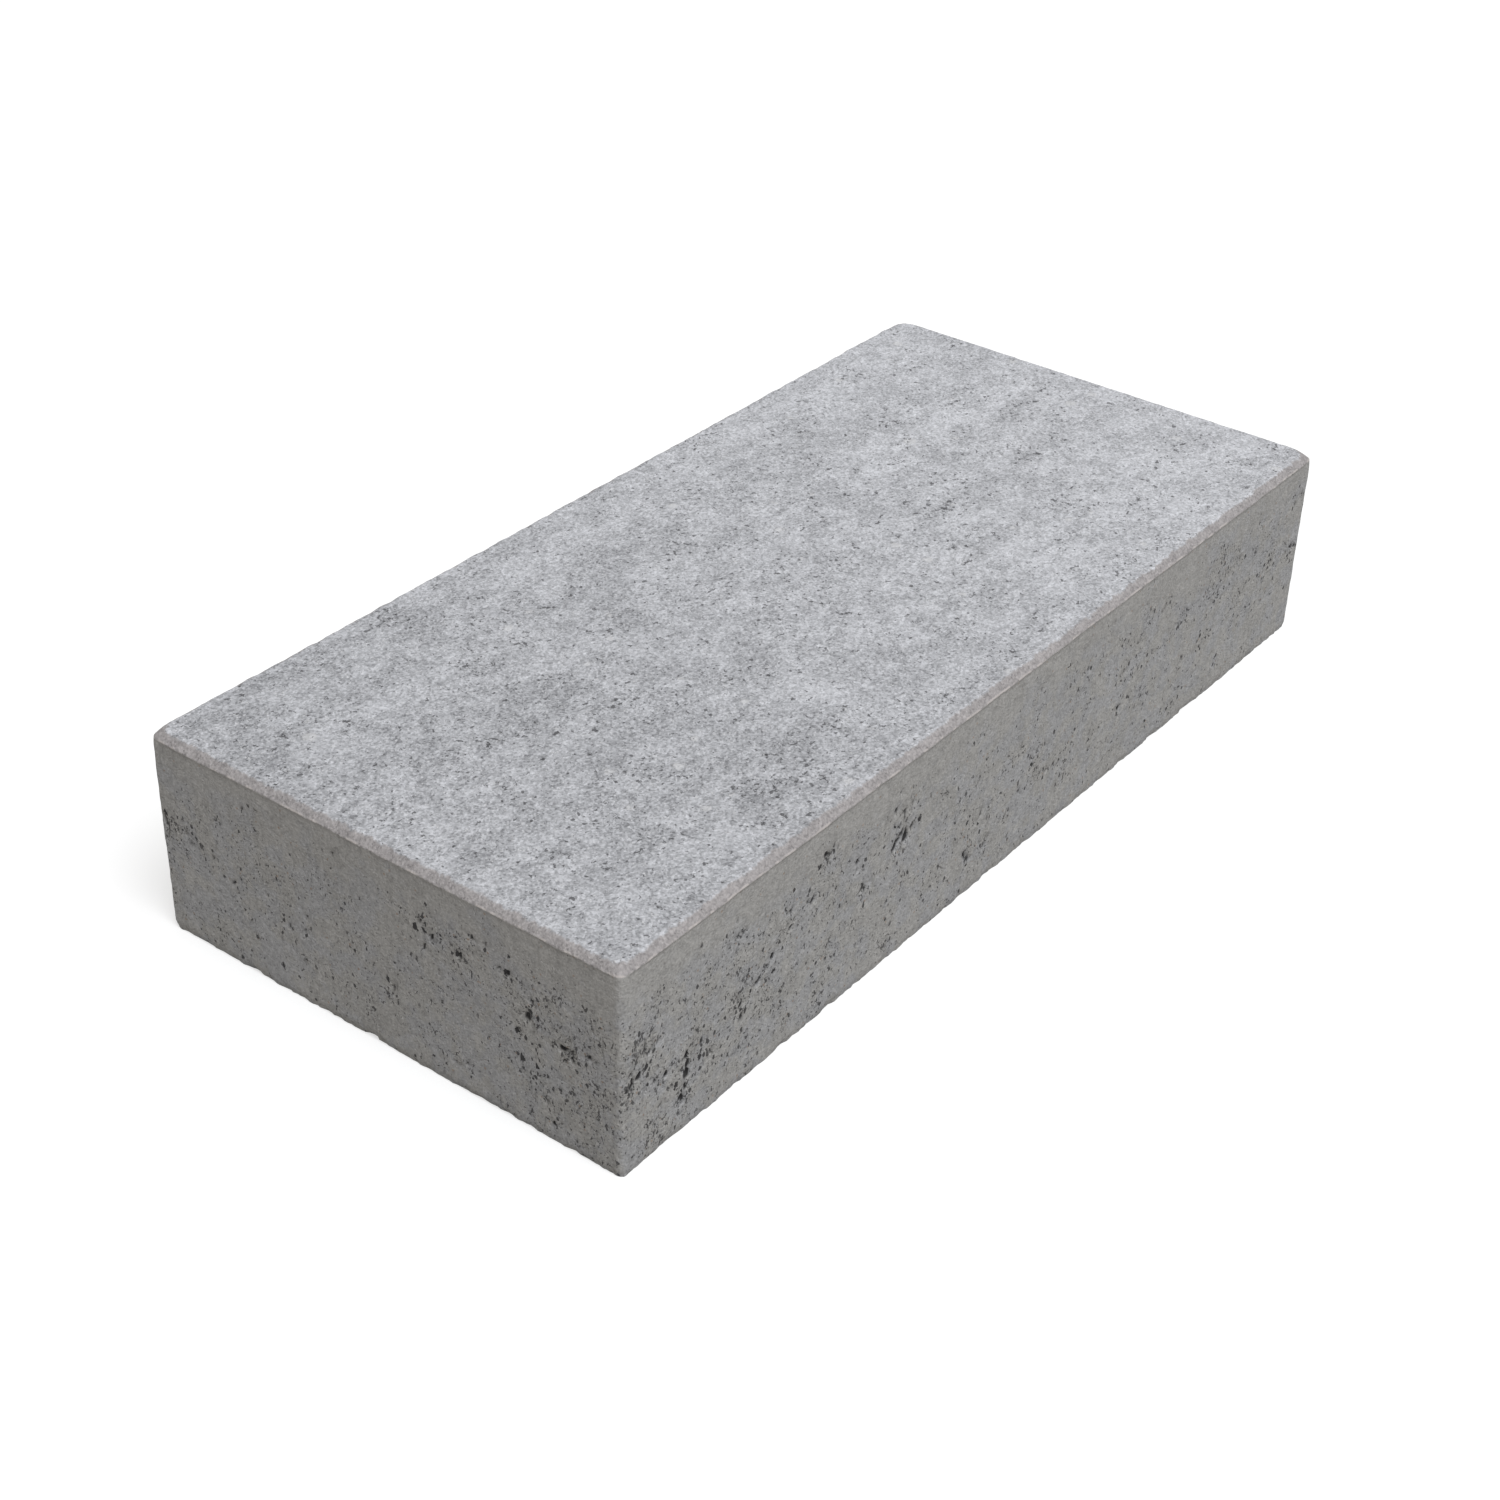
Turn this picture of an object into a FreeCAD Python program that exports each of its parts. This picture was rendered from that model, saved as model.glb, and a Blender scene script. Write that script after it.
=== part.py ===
"""Precast concrete block step: one solid block with a bevelled top, laid as a garden stair."""

import FreeCAD, Part

import math
import os

import Sketcher

NODE = "concrete_block"

# alias: (millimetres, what it is)
DIMENSIONS = {
    "block_length": (750, "width of the stair that one block makes, along X"),
    "block_depth": (350, "tread depth, along Y"),
    "block_height": (140, "riser height, along Z"),
    "top_bevel": (5, "45 degree bevel round the tread face"),
    "corner_radius": (3, "upright corners, below the bevel"),
    "tread_corner_radius": (6, "corners of the tread face, above the bevel"),
}

# how a sketch constraint numbers the points of a line or arc, and the sketch's own origin
START, END, CENTRE = 1, 2, 3
ORIGIN_POINT = (-1, 1)


def make_sheet(doc):
    """The driving dimensions, one row each: alias, value and meaning."""
    sheet = doc.addObject("Spreadsheet::Sheet", "Dimensions")
    for row, (alias, (value, meaning)) in enumerate(DIMENSIONS.items(), start=1):
        sheet.set(f"A{row}", alias)
        sheet.set(f"B{row}", str(value))
        sheet.set(f"C{row}", meaning)
        sheet.setAlias(f"B{row}", alias)
    doc.recompute()


def size(alias):
    """A driving dimension's value in millimetres."""
    return DIMENSIONS[alias][0]


def rounded_rectangle(length, depth, radius):
    """Four sides and four corner arcs round the origin, in order: side, arc, side, arc, and so on."""
    x, y = length / 2 - radius, depth / 2 - radius
    corners = [(x, -y), (x, y), (-x, y), (-x, -y)]
    arcs = []
    for turn, corner in enumerate(corners):
        circle = Part.Circle(FreeCAD.Vector(*corner, 0), FreeCAD.Vector(0, 0, 1), radius)
        arcs.append(Part.ArcOfCircle(circle, (turn - 1) * math.pi / 2, turn * math.pi / 2))
    outline = []
    for i, arc in enumerate(arcs):
        outline.append(Part.LineSegment(arcs[i - 1].EndPoint, arc.StartPoint))
        outline.append(arc)
    return outline


def draw_outline(body, name, level, radius_alias, inset_alias=None):
    """A sketch of the block's rounded outline at a level, pulled in on every side by a named inset."""
    inset = size(inset_alias) if inset_alias else 0
    pull_in = f" - 2 * Dimensions.{inset_alias}" if inset_alias else ""
    length = size("block_length") - 2 * inset
    depth = size("block_depth") - 2 * inset

    sketch = body.newObject("Sketcher::SketchObject", name)
    ground = next(feature for feature in body.Origin.OriginFeatures if feature.Role == "XY_Plane")
    sketch.AttachmentSupport = [(ground, "")]
    sketch.MapMode = "FlatFace"
    sketch.setExpression("AttachmentOffset.Base.z", level)

    outline = sketch.addGeometry(rounded_rectangle(length, depth, size(radius_alias)), False)
    sides, arcs = outline[0::2], outline[1::2]
    for i, arc in enumerate(arcs):
        next_side = sides[(i + 1) % len(sides)]
        sketch.addConstraint(Sketcher.Constraint("Tangent", sides[i], END, arc, START))
        sketch.addConstraint(Sketcher.Constraint("Tangent", arc, END, next_side, START))
    for arc in arcs[1:]:
        sketch.addConstraint(Sketcher.Constraint("Equal", arcs[0], arc))
    for side in sides[0::2]:
        sketch.addConstraint(Sketcher.Constraint("Horizontal", side))
    for side in sides[1::2]:
        sketch.addConstraint(Sketcher.Constraint("Vertical", side))
    sketch.addConstraint(Sketcher.Constraint("Symmetric", arcs[0], CENTRE, arcs[2], CENTRE, *ORIGIN_POINT))

    driving = {
        f"Dimensions.{radius_alias}": Sketcher.Constraint("Radius", arcs[0], size(radius_alias)),
        f"Dimensions.block_length{pull_in}": Sketcher.Constraint(
            "DistanceX", sides[3], START, sides[1], START, length
        ),
        f"Dimensions.block_depth{pull_in}": Sketcher.Constraint(
            "DistanceY", sides[0], START, sides[2], START, depth
        ),
    }
    for expression, constraint in driving.items():
        index = sketch.addConstraint(constraint)
        sketch.setExpression(f"Constraints[{index}]", expression)
    return sketch


def make_block(doc):
    """The cast block: upright sides up to the bevel, then a short loft in to the tread face."""
    body = doc.addObject("PartDesign::Body", "Block")
    body.Label = NODE
    bevel_foot_level = "Dimensions.block_height - Dimensions.top_bevel"
    tread_level = "Dimensions.block_height"

    sides = body.newObject("PartDesign::Pad", "UprightSides")
    sides.Profile = draw_outline(body, "Footprint", "0", "corner_radius")
    sides.setExpression("Length", bevel_foot_level)
    doc.recompute()

    bevel = body.newObject("PartDesign::AdditiveLoft", "TopBevel")
    bevel.Profile = draw_outline(body, "BevelFoot", bevel_foot_level, "corner_radius")
    bevel.Sections = [draw_outline(body, "Tread", tread_level, "tread_corner_radius", "top_bevel")]
    bevel.Ruled = True
    doc.recompute()
    return body


def check(doc, bodies):
    """Stops on any failed feature, and on any sub-part whose shape is not one valid closed solid."""
    for item in doc.Objects:
        if {"Invalid", "Error"} & set(item.State):
            raise RuntimeError(f"{item.Name} failed: {item.State}")
    for body in bodies:
        shape = body.Shape
        if shape.isNull() or not shape.isValid() or len(shape.Solids) != 1:
            raise RuntimeError(f"{body.Label} is not one valid solid")


def write(bodies):
    """One STEP file for each sub-part, named by its label."""
    os.makedirs("parts", exist_ok=True)
    for body in bodies:
        body.Shape.exportStep(f"parts/{body.Label}.step")
        box = body.Shape.BoundBox
        extent = f"{box.XLength:.2f} x {box.YLength:.2f} x {box.ZLength:.2f} mm"
        print(f"{body.Label}: {extent}, {body.Shape.Volume / 1e6:.3f} litres")


def main():
    doc = FreeCAD.newDocument("ConcreteBlockStep")
    make_sheet(doc)
    bodies = [make_block(doc)]
    check(doc, bodies)
    write(bodies)


main()
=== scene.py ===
"""Looks of the precast concrete block step: its cast skin, its finish, and a plain studio."""

import itertools
import logging
import math
from dataclasses import dataclass, field
from enum import Enum

import bpy
import numpy as np
from mathutils import Matrix, Vector


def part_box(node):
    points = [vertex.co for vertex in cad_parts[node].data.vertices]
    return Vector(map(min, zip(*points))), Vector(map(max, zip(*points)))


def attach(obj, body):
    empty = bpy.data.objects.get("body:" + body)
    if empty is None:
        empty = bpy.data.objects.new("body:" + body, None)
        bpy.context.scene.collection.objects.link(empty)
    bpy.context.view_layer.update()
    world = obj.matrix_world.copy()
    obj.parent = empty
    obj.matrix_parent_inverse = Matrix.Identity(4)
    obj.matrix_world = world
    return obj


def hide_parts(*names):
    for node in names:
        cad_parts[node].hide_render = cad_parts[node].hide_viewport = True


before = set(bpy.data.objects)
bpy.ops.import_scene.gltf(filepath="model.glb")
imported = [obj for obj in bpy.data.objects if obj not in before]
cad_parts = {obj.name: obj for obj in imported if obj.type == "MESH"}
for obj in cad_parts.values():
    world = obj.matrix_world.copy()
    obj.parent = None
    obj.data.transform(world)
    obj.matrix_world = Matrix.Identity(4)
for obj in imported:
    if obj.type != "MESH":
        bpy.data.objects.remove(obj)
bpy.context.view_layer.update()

log = logging.getLogger("block_step")

NODE = "concrete_block"
BODY = "root"
SLOT = "pressed_concrete"
MM = 0.001

Array = np.ndarray
Colour = tuple[float, float, float, float]


# ---------------------------------------------------------------- shapes worked out as arrays


def ease(low: float, high: float, value: Array) -> Array:
    """An S curve: 0 up to low, 1 from high on, and 3t^2 - 2t^3 of the way between them.

    Args:
        low: where the rise starts.
        high: where it ends; it may be the smaller one, and the curve then falls.
        value: the places to read it at.

    Returns:
        The curve's height at each place.
    """
    way = np.clip((value - low) / (high - low), 0.0, 1.0)
    return way * way * (3.0 - 2.0 * way)


class Clouds:
    """Smooth random relief: fixed random values on a lattice, blended inside each cell by an S curve."""

    CELLS = 64

    def __init__(self, seed: int) -> None:
        """Draws the lattice's values once from the seed."""
        self.values = np.random.default_rng(seed).uniform(-1.0, 1.0, (self.CELLS,) * 3)

    def single(self, points: Array, cell: Array | float) -> Array:
        """One layer of the relief.

        Args:
            points: places, the last axis holding X, Y and Z.
            cell: the lattice's pitch, one number or one for each axis.

        Returns:
            A value from -1 to 1 at each place: the eight corners' values, each weighted by the product of
            its three S-curve shares.
        """
        place = points / cell
        low = np.floor(place).astype(int)
        share = ease(0.0, 1.0, place - low)
        total = np.zeros(points.shape[:-1])
        for corner in itertools.product((0, 1), repeat=3):
            weight = np.prod(np.where(corner, share, 1.0 - share), axis=-1)
            index = (low + corner) % self.CELLS
            total += weight * self.values[index[..., 0], index[..., 1], index[..., 2]]
        return total

    def layered(self, points: Array, cell: Array | float, layers: int = 3) -> Array:
        """Several layers added up, each at half the pitch and height of the one before, scaled to 1."""
        heights = 0.5 ** np.arange(layers)
        sizes = [np.asarray(cell) / 2**i for i in range(layers)]
        parts = [h * self.single(points + 7.3 * i, size) for i, (h, size) in enumerate(zip(heights, sizes))]
        return sum(parts) / heights.sum()


def graded(length: float, fine: float, coarse: float, edge: float, multiple: int) -> Array:
    """Places along a centred line, close together near its ends and further apart in the middle.

    The step grows from fine at an end to coarse once edge away from it. The running sum of 1/step counts the
    steps, and equal counts are read back as places.

    Args:
        length: of the line.
        fine: step at the ends.
        coarse: step in the middle.
        edge: how far from an end the step has grown to coarse.
        multiple: the number of steps is a multiple of this.

    Returns:
        The places, from -length/2 to length/2.
    """
    line = np.linspace(-length / 2, length / 2, 4001)
    step = fine + (coarse - fine) * ease(0.0, edge, length / 2 - np.abs(line))
    count = np.concatenate(([0.0], np.cumsum(np.diff(line) / ((step[1:] + step[:-1]) / 2))))
    steps = multiple * math.ceil(count[-1] / multiple)
    return np.interp(np.linspace(0.0, count[-1], steps + 1), count, line)


def round_corners(across: Array, half: Array, radius: Array | float) -> Array:
    """Bends a rectangle's square corners into arcs.

    A point inside a corner's square keeps its direction from that square's inner corner, and its distance
    becomes the larger of its two offsets, so each square ring round the inner corner turns into an arc.

    Args:
        across: places, the last axis holding X and Y.
        half: the rectangle's half sizes.
        radius: of the arcs.

    Returns:
        The moved places.
    """
    inner = np.clip(across, -(half - radius), half - radius)
    offset = across - inner
    reach = np.abs(offset).max(-1, keepdims=True)
    distance = np.maximum(np.hypot(offset[..., :1], offset[..., 1:]), 1e-12)
    return inner + offset * reach / distance


# ---------------------------------------------------------------- air voids in the pressed faces


class Side(Enum):
    """The upright faces, in the order in which the block's outline passes them."""

    FRONT = 0
    RIGHT_END = 1
    BACK = 2
    LEFT_END = 3


@dataclass(frozen=True)
class Cluster:
    """A nest of air voids, where the mix was not pressed tight.

    along is from the face's left corner as seen from outside, and down is from the bevel's foot, or on the
    tread from the front edge. All are in millimetres.
    """

    along: float
    down: float
    wide: float = 5.0
    tall: float = 6.0
    voids: int = 7
    largest: float = 1.8


# The worst nests are near the front left corner, and mid-height along the riser.
FRONT_NESTS = (
    Cluster(254, 41, 8, 12, 26, 2.9),
    Cluster(180, 23, 5, 3, 7, 2.2),
    Cluster(161, 44, 4, 4, 6, 1.8),
    Cluster(142, 48, 4, 8, 9, 2.0),
    Cluster(122, 70, 6, 4, 8, 2.2),
    Cluster(99, 82, 6, 5, 8, 2.2),
    Cluster(97, 31, 4, 8, 8, 1.6),
    Cluster(53, 98, 4, 10, 14, 2.7),
    Cluster(23, 62, 7, 6, 8, 1.7),
    Cluster(8, 72, 4, 6, 7, 2.1),
    Cluster(27, 86, 9, 5, 8, 1.8),
    Cluster(72, 95, 12, 8, 10, 1.6),
    Cluster(212, 50, 4, 5, 6, 1.9),
    Cluster(216, 68, 5, 4, 6, 1.9),
    Cluster(338, 84, 9, 5, 10, 1.8),
    Cluster(327, 106, 3, 6, 6, 2.0),
    Cluster(346, 105, 6, 3, 7, 1.6),
    Cluster(385, 88, 4, 6, 5, 1.6),
    Cluster(405, 66, 10, 2, 6, 1.6),
    Cluster(424, 90, 8, 4, 7, 1.8),
    Cluster(457, 33, 4, 3, 4, 1.8),
    Cluster(522, 62, 24, 2, 9, 1.4),
    Cluster(508, 82, 6, 5, 6, 1.9),
    Cluster(550, 34, 4, 3, 4, 1.8),
    Cluster(612, 86, 8, 5, 7, 1.8),
    Cluster(640, 60, 18, 2, 7, 1.4),
    Cluster(659, 35, 4, 4, 4, 1.9),
    Cluster(702, 70, 10, 5, 8, 1.6),
    Cluster(733, 27, 5, 4, 5, 1.8),
    Cluster(736, 66, 4, 4, 4, 2.2),
)

LEFT_NESTS = (
    Cluster(11, 16, 4, 2, 3, 1.5),
    Cluster(6, 58, 2, 6, 7, 2.6),
    Cluster(24, 59, 4, 4, 6, 2.0),
    Cluster(43, 62, 3, 5, 5, 1.9),
    Cluster(60, 75, 4, 3, 4, 1.9),
    Cluster(78, 17, 7, 2, 4, 1.4),
    Cluster(103, 84, 3, 3, 3, 1.7),
    Cluster(117, 84, 3, 3, 3, 1.7),
    Cluster(102, 98, 3, 7, 5, 1.6),
    Cluster(101, 112, 3, 4, 4, 1.6),
    Cluster(120, 69, 5, 3, 5, 1.6),
    Cluster(142, 16, 3, 2, 2, 1.6),
    Cluster(163, 73, 4, 3, 5, 1.8),
    Cluster(186, 84, 4, 5, 5, 1.8),
    Cluster(214, 33, 4, 8, 12, 2.6),
    Cluster(234, 38, 4, 4, 5, 2.0),
    Cluster(254, 22, 5, 3, 4, 1.8),
    Cluster(265, 34, 5, 3, 5, 2.0),
    Cluster(273, 36, 3, 6, 5, 1.8),
    Cluster(289, 59, 4, 8, 10, 2.8),
    Cluster(315, 70, 5, 6, 11, 2.7),
    Cluster(331, 64, 4, 4, 5, 2.0),
    Cluster(281, 74, 6, 5, 6, 1.7),
    Cluster(291, 98, 6, 12, 9, 1.5),
    Cluster(304, 121, 4, 3, 5, 2.2),
    Cluster(232, 118, 5, 4, 5, 1.8),
)

TREAD_NESTS = (
    Cluster(170, 13, 8, 5, 6, 1.5),
    Cluster(205, 40, 26, 12, 16, 1.2),
    Cluster(245, 57, 4, 9, 10, 1.9),
    Cluster(355, 104, 4, 4, 5, 2.0),
    Cluster(310, 115, 6, 5, 5, 1.4),
    Cluster(128, 120, 10, 12, 10, 1.3),
    Cluster(212, 138, 12, 8, 12, 1.6),
    Cluster(230, 160, 8, 8, 8, 1.6),
    Cluster(138, 190, 4, 4, 5, 1.8),
    Cluster(180, 178, 10, 14, 10, 1.3),
    Cluster(118, 206, 9, 6, 7, 1.4),
    Cluster(390, 233, 4, 4, 4, 1.7),
    Cluster(168, 240, 12, 6, 8, 1.2),
    Cluster(208, 331, 26, 4, 26, 2.2),
    Cluster(513, 18, 3, 3, 3, 1.6),
    Cluster(613, 18, 3, 3, 3, 1.6),
    Cluster(566, 100, 14, 6, 9, 1.3),
    Cluster(708, 54, 8, 6, 8, 1.6),
    Cluster(510, 150, 20, 5, 12, 1.5),
    Cluster(628, 150, 24, 5, 12, 1.5),
    Cluster(720, 148, 9, 5, 8, 1.6),
    Cluster(545, 190, 16, 5, 9, 1.3),
    Cluster(690, 198, 16, 5, 9, 1.5),
    Cluster(460, 268, 18, 8, 9, 1.2),
    Cluster(620, 262, 22, 8, 9, 1.2),
)


# Voids with smaller half heights than this are left to the finish's pits.
SMALLEST_MODELLED = 1.5 * MM


@dataclass(frozen=True)
class Patch:
    """A stretch of the tread where lime bloom lies thick (above 0) or is worn thin to the grey (below 0).

    along is from the left edge and down from the front edge, all in millimetres.
    """

    along: float
    down: float
    wide: float
    tall: float
    bloom: float


TREAD_PATCHES = (
    Patch(90, 225, 14, 22, -0.8),
    Patch(165, 190, 38, 16, -0.9),
    Patch(270, 225, 14, 18, -1.0),
    Patch(140, 130, 22, 9, -0.8),
    Patch(190, 138, 16, 8, -0.6),
    Patch(235, 160, 18, 8, -0.6),
    Patch(282, 130, 22, 10, -0.7),
    Patch(218, 68, 16, 16, -0.8),
    Patch(248, 58, 6, 8, -0.8),
    Patch(180, 82, 8, 8, -0.6),
    Patch(162, 38, 18, 9, -0.9),
    Patch(84, 112, 20, 10, -0.5),
    Patch(325, 278, 20, 12, -0.8),
    Patch(368, 278, 10, 12, -0.8),
    Patch(470, 290, 14, 14, -0.8),
    Patch(540, 290, 12, 18, -0.8),
    Patch(642, 295, 14, 14, -0.8),
    Patch(600, 151, 125, 5, -0.9),
    Patch(600, 196, 130, 8, -0.7),
    Patch(600, 268, 130, 14, -0.4),
    Patch(28, 275, 20, 55, -0.6),
    Patch(325, 62, 14, 12, -0.5),
    Patch(170, 322, 80, 14, -0.5),
    Patch(395, 236, 7, 5, -0.8),
    Patch(28, 130, 16, 12, -0.5),
    Patch(275, 85, 17, 18, 0.8),
    Patch(128, 30, 14, 14, 0.7),
    Patch(58, 175, 24, 20, 0.5),
    Patch(232, 228, 6, 14, 0.6),
    Patch(275, 308, 14, 10, 0.6),
    Patch(345, 304, 40, 6, 0.6),
    Patch(512, 130, 9, 7, 1.1),
    Patch(611, 131, 10, 7, 1.1),
    Patch(699, 130, 9, 7, 1.1),
    Patch(590, 72, 14, 14, 0.9),
    Patch(496, 78, 12, 12, 0.8),
    Patch(680, 75, 14, 14, 0.9),
    Patch(516, 45, 14, 9, 0.9),
    Patch(612, 40, 18, 10, 0.8),
    Patch(714, 40, 22, 10, 0.7),
    Patch(340, 25, 26, 7, 0.7),
    Patch(540, 222, 10, 9, 0.7),
    Patch(636, 222, 10, 9, 0.7),
    Patch(165, 268, 60, 7, 0.5),
    Patch(465, 169, 7, 5, 0.7),
    Patch(552, 171, 7, 5, 0.7),
    Patch(646, 170, 7, 5, 0.7),
)


def bloom_at(patches: tuple[Patch, ...], place: Array) -> Array:
    """How thick the bloom lies at each point: the sum of a bell curve for each patch.

    Args:
        patches: to add up.
        place: the points, the last axis holding along and down, in metres.

    Returns:
        The bloom's swing about its mean, around -1 to 1.
    """
    total = np.zeros(place.shape[:-1])
    for patch in patches:
        offset = (place / MM - (patch.along, patch.down)) / (patch.wide, patch.tall)
        total += patch.bloom * np.exp(-0.7 * (offset**2).sum(-1))
    return total


@dataclass(frozen=True)
class VoidHabit:
    """How the voids of one kind of face look, in millimetres."""

    scale: float
    smallest: float
    stretch: tuple[float, float]
    depth: tuple[float, float]
    lean: float
    crumbling: float


LONG_SIDE_HABIT = VoidHabit(
    0.92, smallest=0.9, stretch=(1.0, 2.1), depth=(0.9, 1.5), lean=0.35, crumbling=1.0
)
END_HABIT = VoidHabit(0.74, smallest=0.8, stretch=(1.0, 2.1), depth=(0.9, 1.5), lean=0.35, crumbling=0.62)
TREAD_HABIT = VoidHabit(0.8, smallest=0.8, stretch=(1.0, 1.9), depth=(0.45, 0.75), lean=1.2, crumbling=0.7)


class Voids:
    """A face's air voids as arrays: centre, half width, half height, depth and lean of each."""

    def __init__(self, nests: tuple[Cluster, ...], habit: VoidHabit, seed: int) -> None:
        """Scatters each nest's voids round its middle, the biggest ones rare and near it.

        Args:
            nests: where the voids are.
            habit: what they look like.
            seed: of the scatter.
        """
        rng = np.random.default_rng(seed)
        rows = []
        for nest in nests:
            rank = np.linspace(0.0, 1.0, nest.voids) ** 0.7
            radius = habit.scale * nest.largest * (habit.smallest / nest.largest) ** rank
            spread = self.apart(rng, nest, radius)
            tall = radius * rng.uniform(*habit.stretch, nest.voids)
            depth = radius * rng.uniform(*habit.depth, nest.voids)
            lean = rng.normal(0.0, habit.lean, nest.voids)
            centre = spread + (nest.along, nest.down)
            rows.append(np.column_stack([centre, radius, tall, depth, lean]))
        table = np.concatenate(rows)
        self.centre = table[:, :2] * MM
        self.half = table[:, 2:4] * MM
        self.depth = table[:, 4] * MM
        self.lean = table[:, 5]
        self.crumbling = habit.crumbling
        self.nests = np.array([(n.along, n.down, n.wide, n.tall, n.voids) for n in nests])

    @staticmethod
    def apart(rng: np.random.Generator, nest: Cluster, radius: Array, tries: int = 40) -> Array:
        """Places round a nest's middle, drawn one by one; a place that crowds an earlier void is drawn again.

        Args:
            rng: where the draws come from.
            nest: whose wide and tall give the scatter.
            radius: of each void, in millimetres.
            tries: how often a void is drawn before its place is kept as it is.

        Returns:
            The places, in millimetres from the nest's middle.
        """
        places = np.empty((0, 2))
        for i, own in enumerate(radius):
            for _ in range(tries):
                spot = rng.normal(0.0, 0.66, 2) * (nest.wide, nest.tall)
                gaps = np.hypot(*(places - spot).T) - 1.2 * (radius[:i] + own)
                if (gaps > 0).all():
                    break
            places = np.vstack([places, spot])
        return places

    def draw_in(self, place: Array, free: Array, pull: float = 0.55) -> Array:
        """Draws a grid's points together round the bigger voids, so that their rims are crisp.

        A point moves towards a void's centre by pull times a bell curve of its distance. Where bell curves
        overlap, their sum is held to 1.

        Args:
            place: the grid's points, the last axis holding along and down, in metres.
            free: 1 where a point may move, falling to 0 on the edges.
            pull: how strongly, under 1 so that no point passes another.

        Returns:
            The moved points.
        """
        move = np.zeros_like(place)
        total = np.zeros(place.shape[:-1])
        for centre, half in zip(self.centre, self.half):
            if half.max() < SMALLEST_MODELLED:
                continue
            offset = centre - place
            bell = np.exp(-(offset**2).sum(-1) / (2 * (1.6 * half.max() + 1.2 * MM) ** 2))
            move += offset * bell[..., None]
            total += bell
        return place + pull * free[..., None] * move / np.maximum(total, 1.0)[..., None]

    def sunk(self, place: Array, ragged: Array) -> Array:
        """How deep each point lies: a void is a steep-sided dish, and where two meet the deeper one holds.

        Args:
            place: the points, the last axis holding along and down, in metres.
            ragged: a random value from -1 to 1 at each point that makes the rims uneven.

        Returns:
            The depth at each point, in metres.
        """
        deepest = np.zeros(place.shape[:-1])
        for centre, half, depth, lean in zip(self.centre, self.half, self.depth, self.lean):
            if half.max() < SMALLEST_MODELLED:
                continue
            offset = place - centre
            along = offset[..., 0] * math.cos(lean) + offset[..., 1] * math.sin(lean)
            down = offset[..., 1] * math.cos(lean) - offset[..., 0] * math.sin(lean)
            ring = np.hypot(along / half[0], down / half[1]) * (1.0 + 0.3 * ragged)
            deepest = np.maximum(deepest, depth * ease(1.15, 0.45, ring))
        return deepest

    def nearness(self, place: Array) -> Array:
        """From 0 to 1, how close each point is to a nest: a bell curve round each, a little wider than it."""
        total = np.zeros(place.shape[:-1])
        for along, down, wide, tall, count in self.nests:
            offset = place / MM - (along, down)
            reach = np.array((1.3 * wide + 3.5, 1.3 * tall + 3.5))
            total += min(1.0, count / 10) * np.exp(-((offset / reach) ** 2).sum(-1))
        return self.crumbling * np.minimum(total, 1.0)


def scattered_nests(count: int, along: float, down: tuple[float, float], seed: int) -> tuple[Cluster, ...]:
    """Nests for a face that has none listed, more of them low down.

    Args:
        count: of the nests.
        along: the face's length in millimetres.
        down: the highest and lowest place in millimetres.
        seed: of the scatter.

    Returns:
        The nests.
    """
    rng = np.random.default_rng(seed)
    places = rng.uniform(8.0, along - 8.0, count)
    depths = down[0] + (down[1] - down[0]) * rng.uniform(0.0, 1.0, count) ** 0.8
    sizes = rng.gamma(2.0, 2.0, count) + 2.0
    voids = (3 + sizes * rng.uniform(0.2, 0.9, count)).astype(int)
    largest = np.clip(1.2 + 0.16 * voids * rng.uniform(0.4, 1.0, count), 1.2, 2.5)
    rows = zip(places, depths, sizes, sizes * rng.uniform(0.7, 1.5, count), voids, largest)
    return tuple(Cluster(*row) for row in rows)


# ---------------------------------------------------------------- the block's skin


# The unwrapped sheet is a square of this size. The tread lies at its low corner, these strips above it, and
# the underside, which nobody sees, beside the tread at a smaller scale.
SHEET = 960 * MM
UNDERSIDE_SHARE = 0.56
STRIPS = {Side.FRONT: (2, 355), Side.RIGHT_END: (2, 655), Side.BACK: (2, 505), Side.LEFT_END: (360, 655)}
UNWRAPPING = "OFBake"

# How far each corner of the tread is worn, anticlockwise from the front left one.
CORNER_WEAR = np.array([0.5, 2.2, 2.2, 1.6])

# How unevenly the tread's edge runs on each side, and how far its bottom arris is bitten, against the front.
TREAD_EDGE_UNEVEN = {Side.FRONT: 1.0, Side.RIGHT_END: 1.1, Side.BACK: 2.1, Side.LEFT_END: 1.2}
BOTTOM_BITTEN = {Side.FRONT: 1.0, Side.RIGHT_END: 1.0, Side.BACK: 1.0, Side.LEFT_END: 1.45}


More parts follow.
